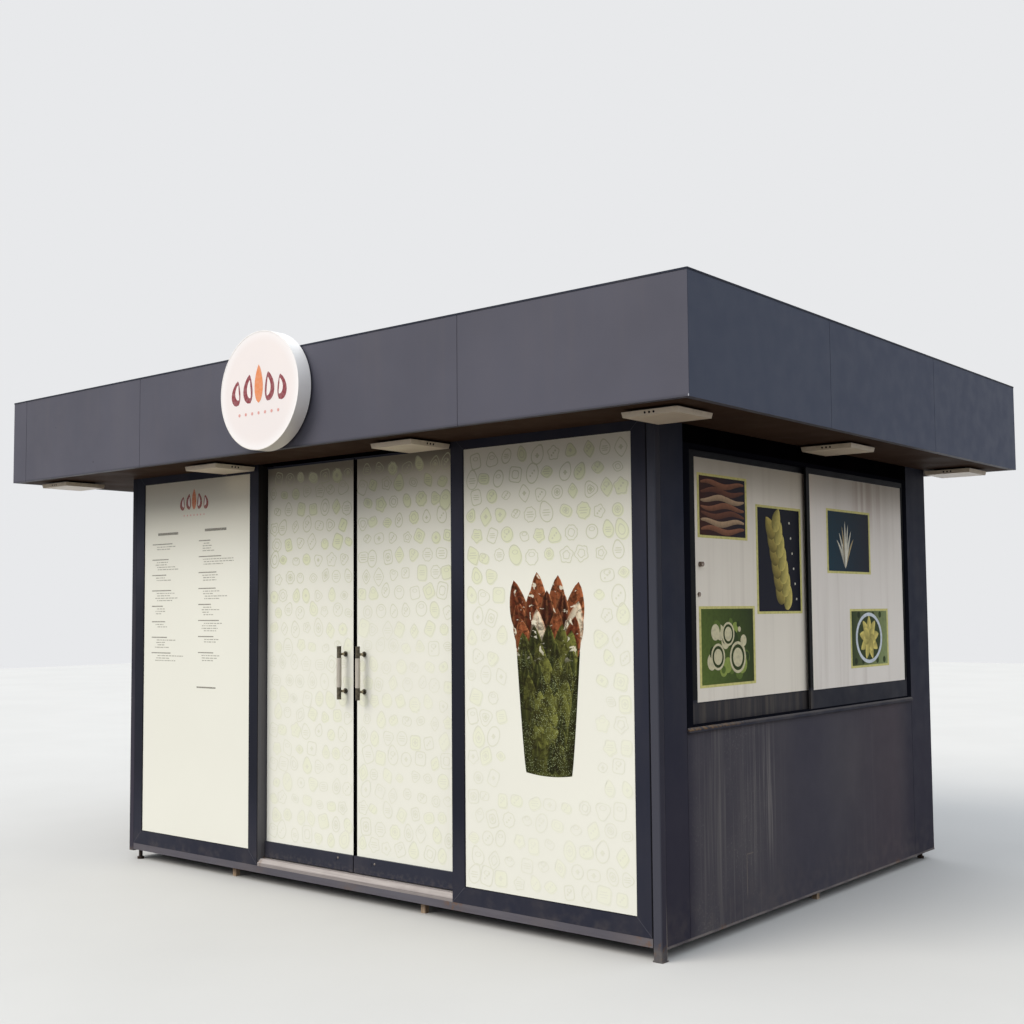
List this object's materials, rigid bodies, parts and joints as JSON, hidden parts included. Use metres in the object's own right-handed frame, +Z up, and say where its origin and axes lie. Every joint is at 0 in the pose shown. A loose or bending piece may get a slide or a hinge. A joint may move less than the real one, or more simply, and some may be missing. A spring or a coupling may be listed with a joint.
{
  "type": "street kiosk",
  "caption": "Street kiosk with glazed front, double glass door, sliding side windows, deep overhanging roof box and a round sign.",
  "frame": {"origin": "on the ground, at the bottom centre of the bounding box of the whole kiosk with its roof box and round sign", "axes": "+Z up; the front with the double door looks along -Y; +X runs to the right of someone who faces the front, along the kiosk's longest side"},
  "size_m": [5.362, 4.094, 3.12],
  "materials": {
    "beam_paint": "satin, worn, with rust at the joints",
    "foot_steel": "rusty",
    "wood": "rough, weathered",
    "floor": "grey sheet flooring",
    "post_paint": "satin grey-blue",
    "dark_paint": "satin near-black blue",
    "black_trim": "satin black",
    "aluminium": "brushed, grooved",
    "frame_paint": "satin anthracite blue",
    "filmed_glass": "glass with a cream film behind it",
    "wall_paint": "satin anthracite blue with dirt streaks",
    "ceiling": "white panel",
    "soffit_paint": "semi-gloss very dark brown",
    "fascia_paint": "matt anthracite",
    "roof_sheet": "grey sheet",
    "light_shell": "cream, matt",
    "light_lens": "opal cream",
    "metal_trim": "brushed with dark sleeves",
    "sign_side": "light grey",
    "sign_front": "white, plain"
  },
  "bodies": {
    "kiosk": {"base_frame": "beam_paint", "steel_feet": "foot_steel", "wooden_blocks": "wood", "floor_panel": "floor", "corner_posts": "post_paint", "doorway_posts": "dark_paint", "door_transom": "black_trim", "threshold": "aluminium", "front_left_frame": "frame_paint", "front_left_glass": "filmed_glass", "front_right_frame": "frame_paint", "front_right_glass": "filmed_glass", "right_wall_piers": "wall_paint", "right_lower_panel": "wall_paint", "window_headers": "black_trim", "right_window_frame": "frame_paint", "right_window_sashes": "frame_paint", "right_window_glass": "filmed_glass", "window_knob": "metal_trim", "window_sills": "frame_paint", "left_wall_piers": "wall_paint", "left_lower_panel": "wall_paint", "left_window_frame": "frame_paint", "left_window_sashes": "frame_paint", "left_window_glass": "filmed_glass", "back_wall_panels": "wall_paint", "ceiling_panel": "ceiling", "soffit_panels": "soffit_paint", "front_fascia": "fascia_paint", "right_fascia": "fascia_paint", "back_fascia": "fascia_paint", "left_fascia": "fascia_paint", "roof_capping": "black_trim", "roof_deck": "roof_sheet", "light_trays": "light_shell", "light_lenses": "light_lens", "sign_brackets": "metal_trim", "sign_drum": "sign_side", "sign_face": "sign_front"},
    "left_door": {"left_door_glass": "filmed_glass", "left_door_rails": "dark_paint", "left_door_handles": "metal_trim"},
    "right_door": {"right_door_glass": "filmed_glass", "right_door_rails": "dark_paint", "right_door_handles": "metal_trim"}
  },
  "joints": [
    {"name": "left_door_hinge", "type": "hinge", "parent": "kiosk", "child": "left_door", "pos_m": [-0.5445, -1.454, 0.149], "axis": [0, 0, 1], "range_deg": [0, 90]},
    {"name": "right_door_hinge", "type": "hinge", "parent": "kiosk", "child": "right_door", "pos_m": [0.8635, -1.454, 0.149], "axis": [0, 0, 1], "range_deg": [-90, 0]}
  ]
}
